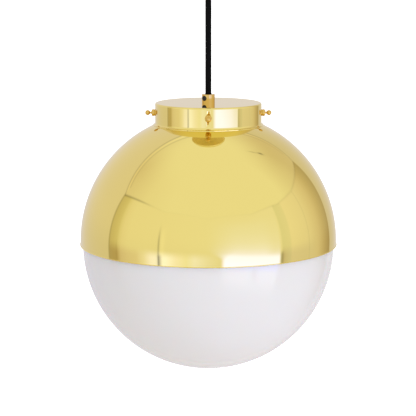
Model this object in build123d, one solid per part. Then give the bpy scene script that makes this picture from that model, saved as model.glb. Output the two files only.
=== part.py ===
from build123d import *
import math
import os

# Pendant ceiling light: a brass half-shell over an opal glass globe, held in a gallery cap by four
# thumbscrews and hung from a ceiling rose on a textile cord. Millimetres, +Z up. The origin is the
# centre of the ceiling face; everything hangs below it. -Y is the front.

# ---- Driving dimensions -----------------------------------------------------------------------

# Ceiling rose
ROSE_RADIUS = 50.0
ROSE_DEPTH = 36.0
ROSE_SHEET = 1.0
ROSE_EDGE_RADIUS = 5.0
ROSE_GRIP_HEIGHT = 16.0

# Ceiling bracket
BRACKET_WIDTH = 22.0
BRACKET_SHEET = 2.0
BRACKET_END_GAP = 1.5
BRACKET_TAB_DROP = 14.0
SLOT_SPACING = 60.0
SLOT_WIDTH = 5.0
SLOT_LENGTH = 14.0
WIRE_ENTRY_RADIUS = 8.0
ROSE_SCREW_RADIUS = 2.0
ROSE_SCREW_DROP = 9.0
ROSE_SCREW_INTRUSION = 1.0
ROSE_SCREW_HEAD_RADIUS = 3.6
ROSE_SCREW_HEAD_TOP = 2.9
ROSE_SCREW_HEAD_HEIGHT = 2.0

# Suspension cord
CORD_RADIUS = 3.45
CORD_FREE_LENGTH = 118.0
CORD_GAP = 0.3
CORD_END_RISE = 12.0
CORE_RADIUS = 1.15
CORE_OFFSET = 1.45
CORD_END_OVERHANG = 4.0

# Threaded tube and cord grips
TUBE_WALL = 1.25
CANOPY_TUBE_RISE = 9.0
GRIP_WALL = 2.5
LAMP_GRIP_HEIGHT = 9.8
GRIP_EDGE = 0.35
GRIP_SCREW_RADIUS = 3.0
GRIP_SCREW_DROP = 4.5
ROSE_GRIP_SCREW_RISE = 5.5
GRIP_SCREW_PROUD = 0.5
GRIP_SCREW_GAP = 0.2
GRIP_SCREW_CHAMFER = 0.3
GRIP_SCREW_SLOT = 0.9
GRIP_SCREW_SLOT_DEPTH = 1.2
GRIP_SCREW_AZIMUTH = 231.0
WASHER_THICKNESS = 0.8
NUT_THICKNESS = 3.0
NUT_OVERSIZE = 2.6

# Gallery cap
CAP_RADIUS = 61.7
CAP_SHEET = 1.0
CAP_HEIGHT = 26.0
CAP_EDGE_RADIUS = 1.8
CAP_FOOT_FLARE = 2.3
CAP_FOOT_EDGE = 0.9
CAP_FOOT_LIP = 0.5
FOOT_GAP = 0.2

# Dome
DOME_RADIUS = 149.35
DOME_SHEET = 0.9
DOME_SKIRT = 3.75
DOME_SKIRT_FLARE = 0.65
COLLAR_FIT = 0.3
COLLAR_SHEET = 0.9
COLLAR_MARGIN = 2.0
COLLAR_ROOT_RADIUS = 0.8

# Glass globe
RIM_GAP = 1.95
GLASS_WALL = 3.5
NECK_CLEARANCE = 9.5
NECK_ROOT_RADIUS = 6.0
LIP_PROJECTION = 5.5
LIP_HEIGHT = 4.0
LIP_ROUND = 1.6
SEAL_THICKNESS = 3.2
SEAL_WIDTH = 9.0

# Thumbscrews
SCREW_DROP = 11.7
SCREW_RADIUS = 1.5
SCREW_CLEARANCE = 0.05
SCREW_HOLE_MARGIN = 0.5
BOSS_RADIUS = 3.6
BOSS_ROUND = 1.4
BOSS_HEIGHT = 4.0
BOSS_ROOT = 2.0
BALL_RADIUS = 3.0
BALL_REACH = 8.4
PAD_RADIUS = 2.5
PAD_LENGTH = 2.8
PAD_SOCKET = 1.7
PAD_CHAMFER = 0.4
DOG_RADIUS = 1.0
DOG_LENGTH = 1.4
PAD_TO_GLASS = 0.3
SCREW_SIDES = {"front": 270.0, "right": 0.0, "back": 90.0, "left": 180.0}

# Lampholder
HOLDER_NECK_RADIUS = 8.0
HOLDER_NECK_LENGTH = 8.0
HOLDER_GAP = 0.8
HOLDER_RADIUS = 20.5
HOLDER_WALL = 2.0
HOLDER_SHOULDER = 8.0
HOLDER_CAP_DEPTH = 25.0
HOLDER_LAP = 6.0
HOLDER_SLEEVE_LENGTH = 29.0
HOLDER_MOUTH_TAPER = 1.5
HOLDER_MOUTH_TAPER_LENGTH = 6.0
HOLDER_BLOCK_THICKNESS = 9.0
HOLDER_BLOCK_GAP = 0.3
HOLDER_TERMINAL_OFFSET = 9.0
HOLDER_POCKET_LENGTH = 7.0
HOLDER_POCKET_WIDTH = 9.0
HOLDER_POCKET_DEPTH = 4.0
LINER_WALL = 0.6
LINER_END_GAP = 2.0
BULB_THREAD_CLEARANCE = 0.3
CONTACT_GAP = 0.2
CONTACT_PIN_RADIUS = 2.4
CONTACT_PIN_LENGTH = 2.0
CONTACT_STRIP_LENGTH = 16.0
CONTACT_STRIP_WIDTH = 5.0
CONTACT_STRIP_THICKNESS = 0.8

# Bulb
BULB_THREAD_RADIUS = 13.1
BULB_SHELL_LENGTH = 15.0
BULB_SHELL_WALL = 0.5
BULB_INSULATOR_LENGTH = 5.0
BULB_INSULATOR_MARGIN = 1.0
BULB_CONTACT_RADIUS = 4.5
BULB_CONTACT_HEIGHT = 1.6
BULB_BODY_LENGTH = 36.0
BULB_BODY_WALL = 1.6
BULB_BODY_SHOULDER = 3.0
BULB_RADIUS = 30.0

# Electrical pieces
TERMINAL_LENGTH = 30.0
TERMINAL_DEPTH = 16.0
TERMINAL_HEIGHT = 13.0
TERMINAL_OFFSET = 13.0
TERMINAL_ENTRY_CLEARANCE = 0.6
TERMINAL_POLES = 3
TERMINAL_SCREW_RADIUS = 1.6
TERMINAL_SCREW_LENGTH = 3.0
TERMINAL_SCREW_CLEARANCE = 0.2
TERMINAL_SCREW_SINK = 0.5
LEAD_BEND = 3.0
LEAD_LOOP = 12.0
LEAD_STAGGER = 3.0
LEAD_STRAIGHT = 4.0
LEAD_RISE = 2.5
LEAD_DROP = 5.0
LEAD_TO_SCREW = 0.8
EARTH_SCREW_RADIUS = 2.0
EARTH_WASHER_RADIUS = 4.2
EARTH_WASHER_THICKNESS = 1.0
EARTH_WIRE_GAP = 1.0
EARTH_HEAD_RADIUS = 3.6
EARTH_HEAD_HEIGHT = 1.6
BRACKET_EARTH_OFFSET = 14.0
BRACKET_EARTH_EDGE = 4.5
CAP_EARTH_INSET = 12.5

# Screwdriver slots, and how far a cutting body stands clear of what it cuts
DRIVER_SLOT = 0.8
DRIVER_SLOT_DEPTH = 0.7
DRIVER_SLOT_SPAN = 20.0
CUT_MARGIN = 1.0

# ---- Levels and radii that follow from them ----------------------------------------------------

ROSE_FLOOR = -ROSE_DEPTH
CORD_TOP = ROSE_FLOOR - ROSE_GRIP_HEIGHT
CORD_BOTTOM = CORD_TOP - CORD_FREE_LENGTH
CAP_TOP = CORD_BOTTOM - LAMP_GRIP_HEIGHT
CAP_UNDERSIDE = CAP_TOP - CAP_SHEET
CAP_FOOT = CAP_TOP - CAP_HEIGHT
CAP_INSIDE = CAP_RADIUS - CAP_SHEET
FOOT_RADIUS = CAP_RADIUS + CAP_FOOT_FLARE
DOME_CENTRE = CAP_FOOT - FOOT_GAP - math.sqrt(DOME_RADIUS**2 - FOOT_RADIUS**2)
RIM_LEVEL = DOME_CENTRE - DOME_SKIRT
RIM_RADIUS = DOME_RADIUS + DOME_SKIRT_FLARE
SCREW_LEVEL = CAP_TOP - SCREW_DROP

TUBE_BORE = CORD_RADIUS + CORD_GAP
TUBE_RADIUS = TUBE_BORE + TUBE_WALL
GRIP_RADIUS = TUBE_RADIUS + GRIP_WALL
NUT_RADIUS = TUBE_RADIUS + NUT_OVERSIZE
GRIP_THREAD_DEPTH = LAMP_GRIP_HEIGHT - GRIP_SCREW_DROP - GRIP_SCREW_RADIUS - CORD_GAP / 3

COLLAR_RADIUS = CAP_INSIDE - COLLAR_FIT
COLLAR_INSIDE = COLLAR_RADIUS - COLLAR_SHEET
COLLAR_TOP = SCREW_LEVEL + SCREW_RADIUS + SCREW_HOLE_MARGIN + COLLAR_MARGIN

GLASS_RADIUS = DOME_RADIUS - DOME_SHEET - RIM_GAP
NECK_RADIUS = COLLAR_INSIDE - NECK_CLEARANCE
NECK_BORE = NECK_RADIUS - GLASS_WALL
LIP_TOP = CAP_UNDERSIDE - SEAL_THICKNESS

HOLDER_TOP = CAP_UNDERSIDE - WASHER_THICKNESS - NUT_THICKNESS - HOLDER_GAP
HOLDER_JOINT = HOLDER_TOP - HOLDER_NECK_LENGTH - HOLDER_CAP_DEPTH
HOLDER_MOUTH = HOLDER_JOINT - HOLDER_SLEEVE_LENGTH
LINER_BORE = BULB_THREAD_RADIUS + BULB_THREAD_CLEARANCE
BULB_TIP = HOLDER_MOUTH + BULB_SHELL_LENGTH + BULB_INSULATOR_LENGTH + BULB_CONTACT_HEIGHT
BLOCK_BOTTOM = BULB_TIP + CONTACT_GAP + CONTACT_PIN_LENGTH
BLOCK_TOP = BLOCK_BOTTOM + HOLDER_BLOCK_THICKNESS
LAMP_CORD_END = HOLDER_TOP - HOLDER_NECK_LENGTH - CORD_END_OVERHANG
BULB_BODY_END = HOLDER_MOUTH - BULB_BODY_LENGTH


# ---- Helpers -----------------------------------------------------------------------------------


def turned(profile):
    """Turns a flat (radius, level) profile about the lamp's axis."""
    return revolve(Plane.XZ * profile, Axis.Z)


def outline(*points):
    """A closed flat profile of straight edges."""
    return make_face(Polyline(*points, close=True))


def ring(outer, inner, low, high):
    """A plain ring between two levels."""
    return turned(outline((inner, low), (outer, low), (outer, high), (inner, high)))


def rod(radius, low, high):
    """A plain upright rod between two levels."""
    return Pos(0, 0, (low + high) / 2) * Cylinder(radius, high - low)


def ball(radius, level):
    """A solid ball on the lamp's axis."""
    return Pos(0, 0, level) * Sphere(radius)


def outward(azimuth, level):
    """The place of a piece that points outwards from the axis along its own Z."""
    return Rot(0, 0, azimuth) * Pos(0, 0, level) * Rot(0, 90, 0)


def hexagon(level, thickness):
    """A hexagon locknut on the threaded tube, its top at the level."""
    body = Pos(0, 0, level - thickness) * extrude(RegularPolygon(NUT_RADIUS, 6), thickness)
    return body - rod(TUBE_RADIUS, level - thickness - CUT_MARGIN, level + CUT_MARGIN)


def driver_slot(level, width=DRIVER_SLOT, depth=DRIVER_SLOT_DEPTH):
    """The space of a screwdriver slot across a screw's flat end at the given level."""
    return Pos(0, 0, level) * Box(DRIVER_SLOT_SPAN, width, 2 * depth)


def fillet_nearest(profile, radius, *places):
    """Rounds the profile's corners nearest the given places."""
    corners = [min(profile.vertices(), key=lambda v: abs(v.X - x) + abs(v.Y - y)) for x, y in places]
    return fillet(corners, radius)


def lead(points):
    """An insulated core along straight runs joined by bends."""
    path = FilletPolyline(*points, radius=LEAD_BEND)
    return sweep(Plane(origin=path @ 0, z_dir=path % 0) * Circle(CORE_RADIUS), path=path)


# ---- Ceiling rose ------------------------------------------------------------------------------


def ceiling_bracket():
    half = ROSE_RADIUS - ROSE_SHEET - BRACKET_END_GAP
    strip = Pos(0, 0, -BRACKET_SHEET / 2) * Box(2 * half, BRACKET_WIDTH, BRACKET_SHEET)
    tab_drop = BRACKET_TAB_DROP
    for side in (-1, 1):
        middle = side * (half - BRACKET_SHEET / 2)
        strip += Pos(middle, 0, -tab_drop / 2) * Box(BRACKET_SHEET, BRACKET_WIDTH / 2, tab_drop)
        slot = extrude(SlotOverall(SLOT_LENGTH, SLOT_WIDTH), BRACKET_SHEET)
        strip -= Pos(side * SLOT_SPACING / 2, 0, -BRACKET_SHEET) * slot
    strip -= rod(WIRE_ENTRY_RADIUS, -BRACKET_SHEET, 0)
    strip -= Pos(0, 0, -ROSE_SCREW_DROP) * Rot(0, 90, 0) * Cylinder(ROSE_SCREW_RADIUS, 2 * half + 2)
    return strip


def ceiling_canopy():
    inside = ROSE_RADIUS - ROSE_SHEET
    cup = outline(
        (TUBE_RADIUS, ROSE_FLOOR),
        (ROSE_RADIUS, ROSE_FLOOR),
        (ROSE_RADIUS, 0),
        (inside, 0),
        (inside, ROSE_FLOOR + ROSE_SHEET),
        (TUBE_RADIUS, ROSE_FLOOR + ROSE_SHEET),
    )
    cup = fillet_nearest(cup, ROSE_EDGE_RADIUS, (ROSE_RADIUS, ROSE_FLOOR))
    cup = fillet_nearest(cup, ROSE_EDGE_RADIUS - ROSE_SHEET, (inside, ROSE_FLOOR + ROSE_SHEET))
    holes = Pos(0, 0, -ROSE_SCREW_DROP) * Rot(0, 90, 0) * Cylinder(ROSE_SCREW_RADIUS, 3 * ROSE_RADIUS)
    return turned(cup) - holes


def rose_side_screws():
    tab_inside = ROSE_RADIUS - ROSE_SHEET - BRACKET_END_GAP - BRACKET_SHEET
    tip = tab_inside - ROSE_SCREW_INTRUSION
    head_top = ROSE_RADIUS + ROSE_SCREW_HEAD_HEIGHT
    screw = turned(
        outline(
            (0, tip),
            (ROSE_SCREW_RADIUS, tip),
            (ROSE_SCREW_RADIUS, ROSE_RADIUS),
            (ROSE_SCREW_HEAD_RADIUS, ROSE_RADIUS),
            (ROSE_SCREW_HEAD_TOP, head_top),
            (0, head_top),
        )
    )
    screw -= driver_slot(head_top)
    return [outward(azimuth, -ROSE_SCREW_DROP) * screw for azimuth in (0, 180)]


def canopy_tube():
    return ring(TUBE_RADIUS, TUBE_BORE, ROSE_FLOOR - GRIP_THREAD_DEPTH, ROSE_FLOOR + CANOPY_TUBE_RISE)


def canopy_washer():
    floor = ROSE_FLOOR + ROSE_SHEET
    return ring(NUT_RADIUS, TUBE_RADIUS, floor, floor + WASHER_THICKNESS)


def canopy_locknut():
    return hexagon(ROSE_FLOOR + ROSE_SHEET + WASHER_THICKNESS + NUT_THICKNESS, NUT_THICKNESS)


def terminal_block():
    middle = -BRACKET_SHEET - TERMINAL_HEIGHT / 2
    low = -BRACKET_SHEET - TERMINAL_HEIGHT
    block = Pos(0, TERMINAL_OFFSET, middle) * Box(TERMINAL_LENGTH, TERMINAL_DEPTH, TERMINAL_HEIGHT)
    entry = Rot(90, 0, 0) * Cylinder(CORE_RADIUS + TERMINAL_ENTRY_CLEARANCE, TERMINAL_DEPTH)
    well = Cylinder(TERMINAL_SCREW_RADIUS + TERMINAL_SCREW_CLEARANCE, TERMINAL_HEIGHT)
    for place in pole_places():
        block -= Pos(place, TERMINAL_OFFSET, middle) * entry
        block -= Pos(place, TERMINAL_OFFSET, low) * well
    return block


def pole_places():
    pitch = TERMINAL_LENGTH / TERMINAL_POLES
    return [pitch * (pole - (TERMINAL_POLES - 1) / 2) for pole in range(TERMINAL_POLES)]


def terminal_screws():
    low = -BRACKET_SHEET - TERMINAL_HEIGHT + TERMINAL_SCREW_SINK
    screw = rod(TERMINAL_SCREW_RADIUS, low, low + TERMINAL_SCREW_LENGTH) - driver_slot(low)
    return [Pos(place, TERMINAL_OFFSET, 0) * screw for place in pole_places()]


def earth_stud(level, places):
    """Earthing screws with their washers, heads down, below the given level."""
    washer_low = level - EARTH_WIRE_GAP - EARTH_WASHER_THICKNESS
    head_high = washer_low - EARTH_WIRE_GAP
    head_low = head_high - EARTH_HEAD_HEIGHT
    stud = rod(EARTH_SCREW_RADIUS, head_high, level)
    stud += rod(EARTH_WASHER_RADIUS, washer_low, washer_low + EARTH_WASHER_THICKNESS)
    stud += rod(EARTH_HEAD_RADIUS, head_low, head_high)
    stud -= driver_slot(head_low)
    return [Pos(x, y, 0) * stud for x, y in places]


def bracket_earth_screw():
    return earth_stud(-BRACKET_SHEET, [(-BRACKET_EARTH_OFFSET, BRACKET_EARTH_EDGE - BRACKET_WIDTH / 2)])


# ---- Cord, its grips and cores -----------------------------------------------------------------


def cord_grip(top, bottom, thread_at_top):
    """A turned brass grip with a bore for the cord and a deeper thread for the tube."""
    body = outline(
        (TUBE_BORE, bottom),
        (GRIP_RADIUS, bottom),
        (GRIP_RADIUS, top),
        (TUBE_BORE, top),
    )
    free_end = bottom if thread_at_top else top
    grip = turned(fillet_nearest(body, GRIP_EDGE, (GRIP_RADIUS, free_end)))
    if thread_at_top:
        grip -= rod(TUBE_RADIUS, top - GRIP_THREAD_DEPTH, top)
    else:
        grip -= rod(TUBE_RADIUS, bottom, bottom + GRIP_THREAD_DEPTH)
    return grip


def grip_screw_hole(level):
    across = Pos(0, 0, GRIP_RADIUS) * Cylinder(GRIP_SCREW_RADIUS, 2 * GRIP_RADIUS)
    return outward(GRIP_SCREW_AZIMUTH, level) * across


def grip_screw(level):
    """The slotted set screw that grips the cord from the side."""
    end = GRIP_RADIUS + GRIP_SCREW_PROUD
    screw = rod(GRIP_SCREW_RADIUS, TUBE_BORE + GRIP_SCREW_GAP, end)
    screw = chamfer(screw.edges().sort_by(Axis.Z)[-1], GRIP_SCREW_CHAMFER)
    screw -= driver_slot(end, GRIP_SCREW_SLOT, GRIP_SCREW_SLOT_DEPTH)
    return outward(GRIP_SCREW_AZIMUTH, level) * screw


LAMP_SCREW_LEVEL = CORD_BOTTOM - GRIP_SCREW_DROP
ROSE_SCREW_LEVEL = CORD_TOP + ROSE_GRIP_SCREW_RISE


def lamp_cord_grip():
    return cord_grip(CORD_BOTTOM, CAP_TOP, False) - grip_screw_hole(LAMP_SCREW_LEVEL)


def canopy_cord_grip():
    return cord_grip(ROSE_FLOOR, CORD_TOP, True) - grip_screw_hole(ROSE_SCREW_LEVEL)


def pendant_cord():
    """The free cord. Its rounded ends turn in place inside the two grips."""
    return rod(CORD_RADIUS, CORD_BOTTOM, CORD_TOP) + ball(CORD_RADIUS, CORD_TOP) + ball(
        CORD_RADIUS, CORD_BOTTOM
    )


def canopy_cord_end():
    return rod(CORD_RADIUS, CORD_TOP + CORD_RADIUS + CORD_GAP, ROSE_FLOOR + CORD_END_RISE)


def lamp_cord_end():
    return rod(CORD_RADIUS, LAMP_CORD_END, CORD_BOTTOM - CORD_RADIUS - CORD_GAP)


def canopy_lead(pole):
    """One core from the cord's end forwards, up and back into its pole of the terminal block."""
    start = ROSE_FLOOR + CORD_END_RISE
    side = pole - 1
    angle = math.radians(270.0 + 120.0 * side)
    x, y = CORE_OFFSET * math.cos(angle), CORE_OFFSET * math.sin(angle)
    place = pole_places()[pole]
    level = -BRACKET_SHEET - TERMINAL_HEIGHT / 2
    front = -LEAD_LOOP + LEAD_STAGGER * abs(side)
    return lead(
        [
            (x, y, start),
            (x, y, start + LEAD_STRAIGHT),
            (place, front, start + LEAD_STRAIGHT + LEAD_RISE),
            (place, front, level),
            (place, TERMINAL_OFFSET - TERMINAL_DEPTH / 4, level),
        ]
    )


# ---- Gallery cap, dome and globe ---------------------------------------------------------------


def gallery_cap():
    """A turned lid with a flared foot whose underside follows the dome."""
    arc_centre = CAP_FOOT + CAP_FOOT_EDGE + CAP_FOOT_FLARE
    inner_radius = CAP_FOOT_FLARE + CAP_SHEET
    foot_low = arc_centre - inner_radius - CUT_MARGIN
    lip = FOOT_RADIUS - CAP_FOOT_LIP
    edges = [
        Line((TUBE_RADIUS, CAP_TOP), (CAP_RADIUS, CAP_TOP)),
        Line((CAP_RADIUS, CAP_TOP), (CAP_RADIUS, arc_centre)),
        RadiusArc((CAP_RADIUS, arc_centre), (FOOT_RADIUS, arc_centre - CAP_FOOT_FLARE), -CAP_FOOT_FLARE),
        Line((FOOT_RADIUS, arc_centre - CAP_FOOT_FLARE), (FOOT_RADIUS, foot_low)),
        Line((FOOT_RADIUS, foot_low), (lip, arc_centre - inner_radius)),
        RadiusArc((lip, arc_centre - inner_radius), (CAP_INSIDE, arc_centre), inner_radius),
        Line((CAP_INSIDE, arc_centre), (CAP_INSIDE, CAP_UNDERSIDE)),
        Line((CAP_INSIDE, CAP_UNDERSIDE), (TUBE_RADIUS, CAP_UNDERSIDE)),
        Line((TUBE_RADIUS, CAP_UNDERSIDE), (TUBE_RADIUS, CAP_TOP)),
    ]
    profile = make_face(edges)
    profile = fillet_nearest(profile, CAP_EDGE_RADIUS, (CAP_RADIUS, CAP_TOP))
    profile = fillet_nearest(profile, CAP_EDGE_RADIUS - CAP_SHEET, (CAP_INSIDE, CAP_UNDERSIDE))
    lid = turned(profile) - ball(DOME_RADIUS + FOOT_GAP, DOME_CENTRE)
    for azimuth in SCREW_SIDES.values():
        lid -= screw_bore(azimuth, SCREW_RADIUS + SCREW_CLEARANCE)
    return lid


def screw_bore(azimuth, radius):
    """The space of a thumbscrew's hole through the collar, wall and boss on one side."""
    inside = NECK_RADIUS + CUT_MARGIN
    outside = CAP_RADIUS + BOSS_HEIGHT + CUT_MARGIN
    return outward(azimuth, SCREW_LEVEL) * rod(radius, inside, outside)


def gallery_bosses():
    wall = rod(CAP_RADIUS, CAP_FOOT, CAP_TOP)
    boss = rod(BOSS_RADIUS, CAP_RADIUS - BOSS_ROOT, CAP_RADIUS + BOSS_HEIGHT)
    boss = fillet(boss.edges().sort_by(Axis.Z)[-1], BOSS_ROUND)
    bosses = []
    for azimuth in SCREW_SIDES.values():
        bore = screw_bore(azimuth, SCREW_RADIUS + SCREW_CLEARANCE)
        bosses.append(outward(azimuth, SCREW_LEVEL) * boss - wall - bore)
    return bosses


def sphere_level(radius, sphere_radius, centre):
    """How high a sphere's surface is at a distance from the axis."""
    return centre + math.sqrt(sphere_radius**2 - radius**2)


def brass_dome():
    """A spun half-shell with a short skirt and a collar that stands inside the cap."""
    inner = DOME_RADIUS - DOME_SHEET
    root = sphere_level(COLLAR_RADIUS, DOME_RADIUS, DOME_CENTRE)
    inner_root = sphere_level(COLLAR_INSIDE, inner, DOME_CENTRE)
    middle = math.sqrt(0.5)
    edges = [
        Line((RIM_RADIUS, RIM_LEVEL), (DOME_RADIUS, DOME_CENTRE)),
        ThreePointArc(
            (DOME_RADIUS, DOME_CENTRE),
            (DOME_RADIUS * middle, DOME_CENTRE + DOME_RADIUS * middle),
            (COLLAR_RADIUS, root),
        ),
        Line((COLLAR_RADIUS, root), (COLLAR_RADIUS, COLLAR_TOP)),
        Line((COLLAR_RADIUS, COLLAR_TOP), (COLLAR_INSIDE, COLLAR_TOP)),
        Line((COLLAR_INSIDE, COLLAR_TOP), (COLLAR_INSIDE, inner_root)),
        ThreePointArc(
            (COLLAR_INSIDE, inner_root),
            (inner * middle, DOME_CENTRE + inner * middle),
            (inner, DOME_CENTRE),
        ),
        Line((inner, DOME_CENTRE), (RIM_RADIUS - DOME_SHEET, RIM_LEVEL)),
        Line((RIM_RADIUS - DOME_SHEET, RIM_LEVEL), (RIM_RADIUS, RIM_LEVEL)),
    ]
    profile = fillet_nearest(make_face(edges), COLLAR_ROOT_RADIUS, (COLLAR_RADIUS, root))
    shell = turned(profile)
    for azimuth in SCREW_SIDES.values():
        shell -= screw_bore(azimuth, SCREW_RADIUS + SCREW_HOLE_MARGIN)
    return shell


def glass_globe():
    """A blown globe with a straight neck and a rounded lip that the screws catch under."""
    lip_radius = NECK_RADIUS + LIP_PROJECTION
    bore_radius = GLASS_RADIUS - GLASS_WALL
    neck_base = sphere_level(NECK_RADIUS, GLASS_RADIUS, RIM_LEVEL)
    bore_base = sphere_level(NECK_BORE, bore_radius, RIM_LEVEL)
    lip_low = LIP_TOP - LIP_HEIGHT
    edges = [
        ThreePointArc((0, RIM_LEVEL - GLASS_RADIUS), (GLASS_RADIUS, RIM_LEVEL), (NECK_RADIUS, neck_base)),
        Line((NECK_RADIUS, neck_base), (NECK_RADIUS, lip_low)),
        Line((NECK_RADIUS, lip_low), (lip_radius, lip_low)),
        Line((lip_radius, lip_low), (lip_radius, LIP_TOP)),
        Line((lip_radius, LIP_TOP), (NECK_BORE, LIP_TOP)),
        Line((NECK_BORE, LIP_TOP), (NECK_BORE, bore_base)),
        ThreePointArc((NECK_BORE, bore_base), (bore_radius, RIM_LEVEL), (0, RIM_LEVEL - bore_radius)),
        Line((0, RIM_LEVEL - bore_radius), (0, RIM_LEVEL - GLASS_RADIUS)),
    ]
    profile = fillet_nearest(make_face(edges), NECK_ROOT_RADIUS, (NECK_RADIUS, neck_base))
    profile = fillet_nearest(profile, LIP_ROUND, (lip_radius, lip_low), (lip_radius, LIP_TOP))
    return turned(profile)


def globe_seal():
    middle = (NECK_BORE + NECK_RADIUS + LIP_PROJECTION) / 2
    return ring(middle + SEAL_WIDTH / 2, middle - SEAL_WIDTH / 2, LIP_TOP, CAP_UNDERSIDE)


# ---- Thumbscrews -------------------------------------------------------------------------------

PAD_INNER = NECK_RADIUS + PAD_TO_GLASS
SHOULDER = PAD_INNER + PAD_LENGTH + PAD_TO_GLASS
BALL_CENTRE = CAP_RADIUS + BALL_REACH


def thumbscrew(azimuth):
    """A ball-headed screw, modelled without its thread, with a dog point that turns in the pad."""
    shank = turned(
        outline(
            (0, SHOULDER - DOG_LENGTH - PAD_TO_GLASS),
            (DOG_RADIUS, SHOULDER - DOG_LENGTH - PAD_TO_GLASS),
            (DOG_RADIUS, SHOULDER),
            (SCREW_RADIUS, SHOULDER),
            (SCREW_RADIUS, BALL_CENTRE),
            (0, BALL_CENTRE),
        )
    )
    head = Pos(0, 0, BALL_CENTRE) * Sphere(BALL_RADIUS)
    return outward(azimuth, SCREW_LEVEL) * (shank + head)


def tip_pad(azimuth):
    """The soft pad that presses on the glass neck and doesn't turn with the screw."""
    pad = Pos(0, 0, PAD_INNER + PAD_LENGTH / 2) * Cylinder(PAD_RADIUS, PAD_LENGTH)
    pad = chamfer(pad.edges().sort_by(Axis.Z)[0], PAD_CHAMFER)
    socket = Pos(0, 0, PAD_INNER + PAD_LENGTH - PAD_SOCKET / 2)
    pad -= socket * Cylinder(DOG_RADIUS + SCREW_CLEARANCE, PAD_SOCKET)
    return outward(azimuth, SCREW_LEVEL) * pad


# ---- Lamp tube, lampholder and bulb ------------------------------------------------------------


def lamp_tube():
    return ring(TUBE_RADIUS, TUBE_BORE, HOLDER_TOP - HOLDER_NECK_LENGTH, CAP_TOP + GRIP_THREAD_DEPTH)


def lamp_washer():
    return ring(NUT_RADIUS, TUBE_RADIUS, CAP_UNDERSIDE - WASHER_THICKNESS, CAP_UNDERSIDE)


def lamp_locknut():
    return hexagon(CAP_UNDERSIDE - WASHER_THICKNESS, NUT_THICKNESS)


def lampholder_cap():
    neck_low = HOLDER_TOP - HOLDER_NECK_LENGTH
    shoulder = neck_low - HOLDER_SHOULDER
    profile = outline(
        (TUBE_RADIUS, HOLDER_TOP),
        (HOLDER_NECK_RADIUS, HOLDER_TOP),
        (HOLDER_NECK_RADIUS, neck_low),
        (HOLDER_RADIUS - HOLDER_WALL, shoulder),
        (HOLDER_RADIUS - HOLDER_WALL, HOLDER_JOINT),
        (HOLDER_RADIUS - 2 * HOLDER_WALL, HOLDER_JOINT),
        (HOLDER_RADIUS - 2 * HOLDER_WALL, shoulder - HOLDER_WALL),
        (TUBE_RADIUS, neck_low - HOLDER_WALL),
    )
    return turned(profile)


def lampholder_block():
    """The insulating core that carries the contacts and terminals."""
    block = rod(HOLDER_RADIUS - 2 * HOLDER_WALL - HOLDER_BLOCK_GAP, BLOCK_BOTTOM, BLOCK_TOP)
    pocket = Box(HOLDER_POCKET_LENGTH, HOLDER_POCKET_WIDTH, 2 * HOLDER_POCKET_DEPTH)
    for side in (-1, 1):
        block -= Pos(side * HOLDER_TERMINAL_OFFSET, 0, BLOCK_TOP) * pocket
    return block


def lampholder_sleeve():
    skirt = HOLDER_JOINT + HOLDER_LAP
    outer = HOLDER_RADIUS
    inner = HOLDER_RADIUS - HOLDER_WALL
    liner = LINER_BORE + LINER_WALL
    profile = outline(
        (liner, HOLDER_MOUTH),
        (outer - HOLDER_MOUTH_TAPER, HOLDER_MOUTH),
        (outer, HOLDER_MOUTH + HOLDER_MOUTH_TAPER_LENGTH),
        (outer, skirt),
        (inner, skirt),
        (inner, BLOCK_BOTTOM),
        (liner, BLOCK_BOTTOM),
    )
    return turned(profile)


def lampholder_liner():
    low = HOLDER_MOUTH + LINER_END_GAP
    return ring(LINER_BORE + LINER_WALL, LINER_BORE, low, BLOCK_BOTTOM - LINER_END_GAP)


def holder_contact():
    middle = BLOCK_BOTTOM - CONTACT_STRIP_THICKNESS / 2
    strip = Box(CONTACT_STRIP_LENGTH, CONTACT_STRIP_WIDTH, CONTACT_STRIP_THICKNESS)
    return Pos(0, 0, middle) * strip + rod(CONTACT_PIN_RADIUS, BULB_TIP + CONTACT_GAP, middle)


def holder_terminal_screws():
    low = BLOCK_TOP - HOLDER_POCKET_DEPTH
    high = low + TERMINAL_SCREW_LENGTH
    screw = rod(TERMINAL_SCREW_RADIUS, low, high) - driver_slot(high)
    return [Pos(side * HOLDER_TERMINAL_OFFSET, 0, 0) * screw for side in (-1, 1)]


def bulb_shell():
    top = HOLDER_MOUTH + BULB_SHELL_LENGTH
    inner = BULB_THREAD_RADIUS - BULB_SHELL_WALL
    return ring(BULB_THREAD_RADIUS, inner, HOLDER_MOUTH, top)


def bulb_insulator():
    low = HOLDER_MOUTH + BULB_SHELL_LENGTH
    profile = outline(
        (0, low),
        (BULB_THREAD_RADIUS, low),
        (BULB_CONTACT_RADIUS + BULB_INSULATOR_MARGIN, low + BULB_INSULATOR_LENGTH),
        (0, low + BULB_INSULATOR_LENGTH),
    )
    return turned(profile)


def bulb_contact():
    return rod(BULB_CONTACT_RADIUS, BULB_TIP - BULB_CONTACT_HEIGHT, BULB_TIP)


def bulb_body():
    """The white moulded body between the screw shell and the diffuser."""
    wall = BULB_BODY_WALL
    inner = BULB_THREAD_RADIUS - BULB_SHELL_WALL
    shoulder = HOLDER_MOUTH - BULB_BODY_SHOULDER
    profile = outline(
        (inner - wall, HOLDER_MOUTH),
        (BULB_THREAD_RADIUS + wall, HOLDER_MOUTH),
        (BULB_THREAD_RADIUS + wall, shoulder),
        (BULB_RADIUS, BULB_BODY_END),
        (BULB_RADIUS - wall, BULB_BODY_END),
        (inner - wall, shoulder),
    )
    return turned(profile)


def bulb_diffuser():
    outer = Pos(0, 0, BULB_BODY_END) * Sphere(BULB_RADIUS)
    inner = Pos(0, 0, BULB_BODY_END) * Sphere(BULB_RADIUS - BULB_BODY_WALL)
    upper = rod(2 * BULB_RADIUS, BULB_BODY_END, BULB_BODY_END + 2 * BULB_RADIUS)
    return outer - inner - upper


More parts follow.
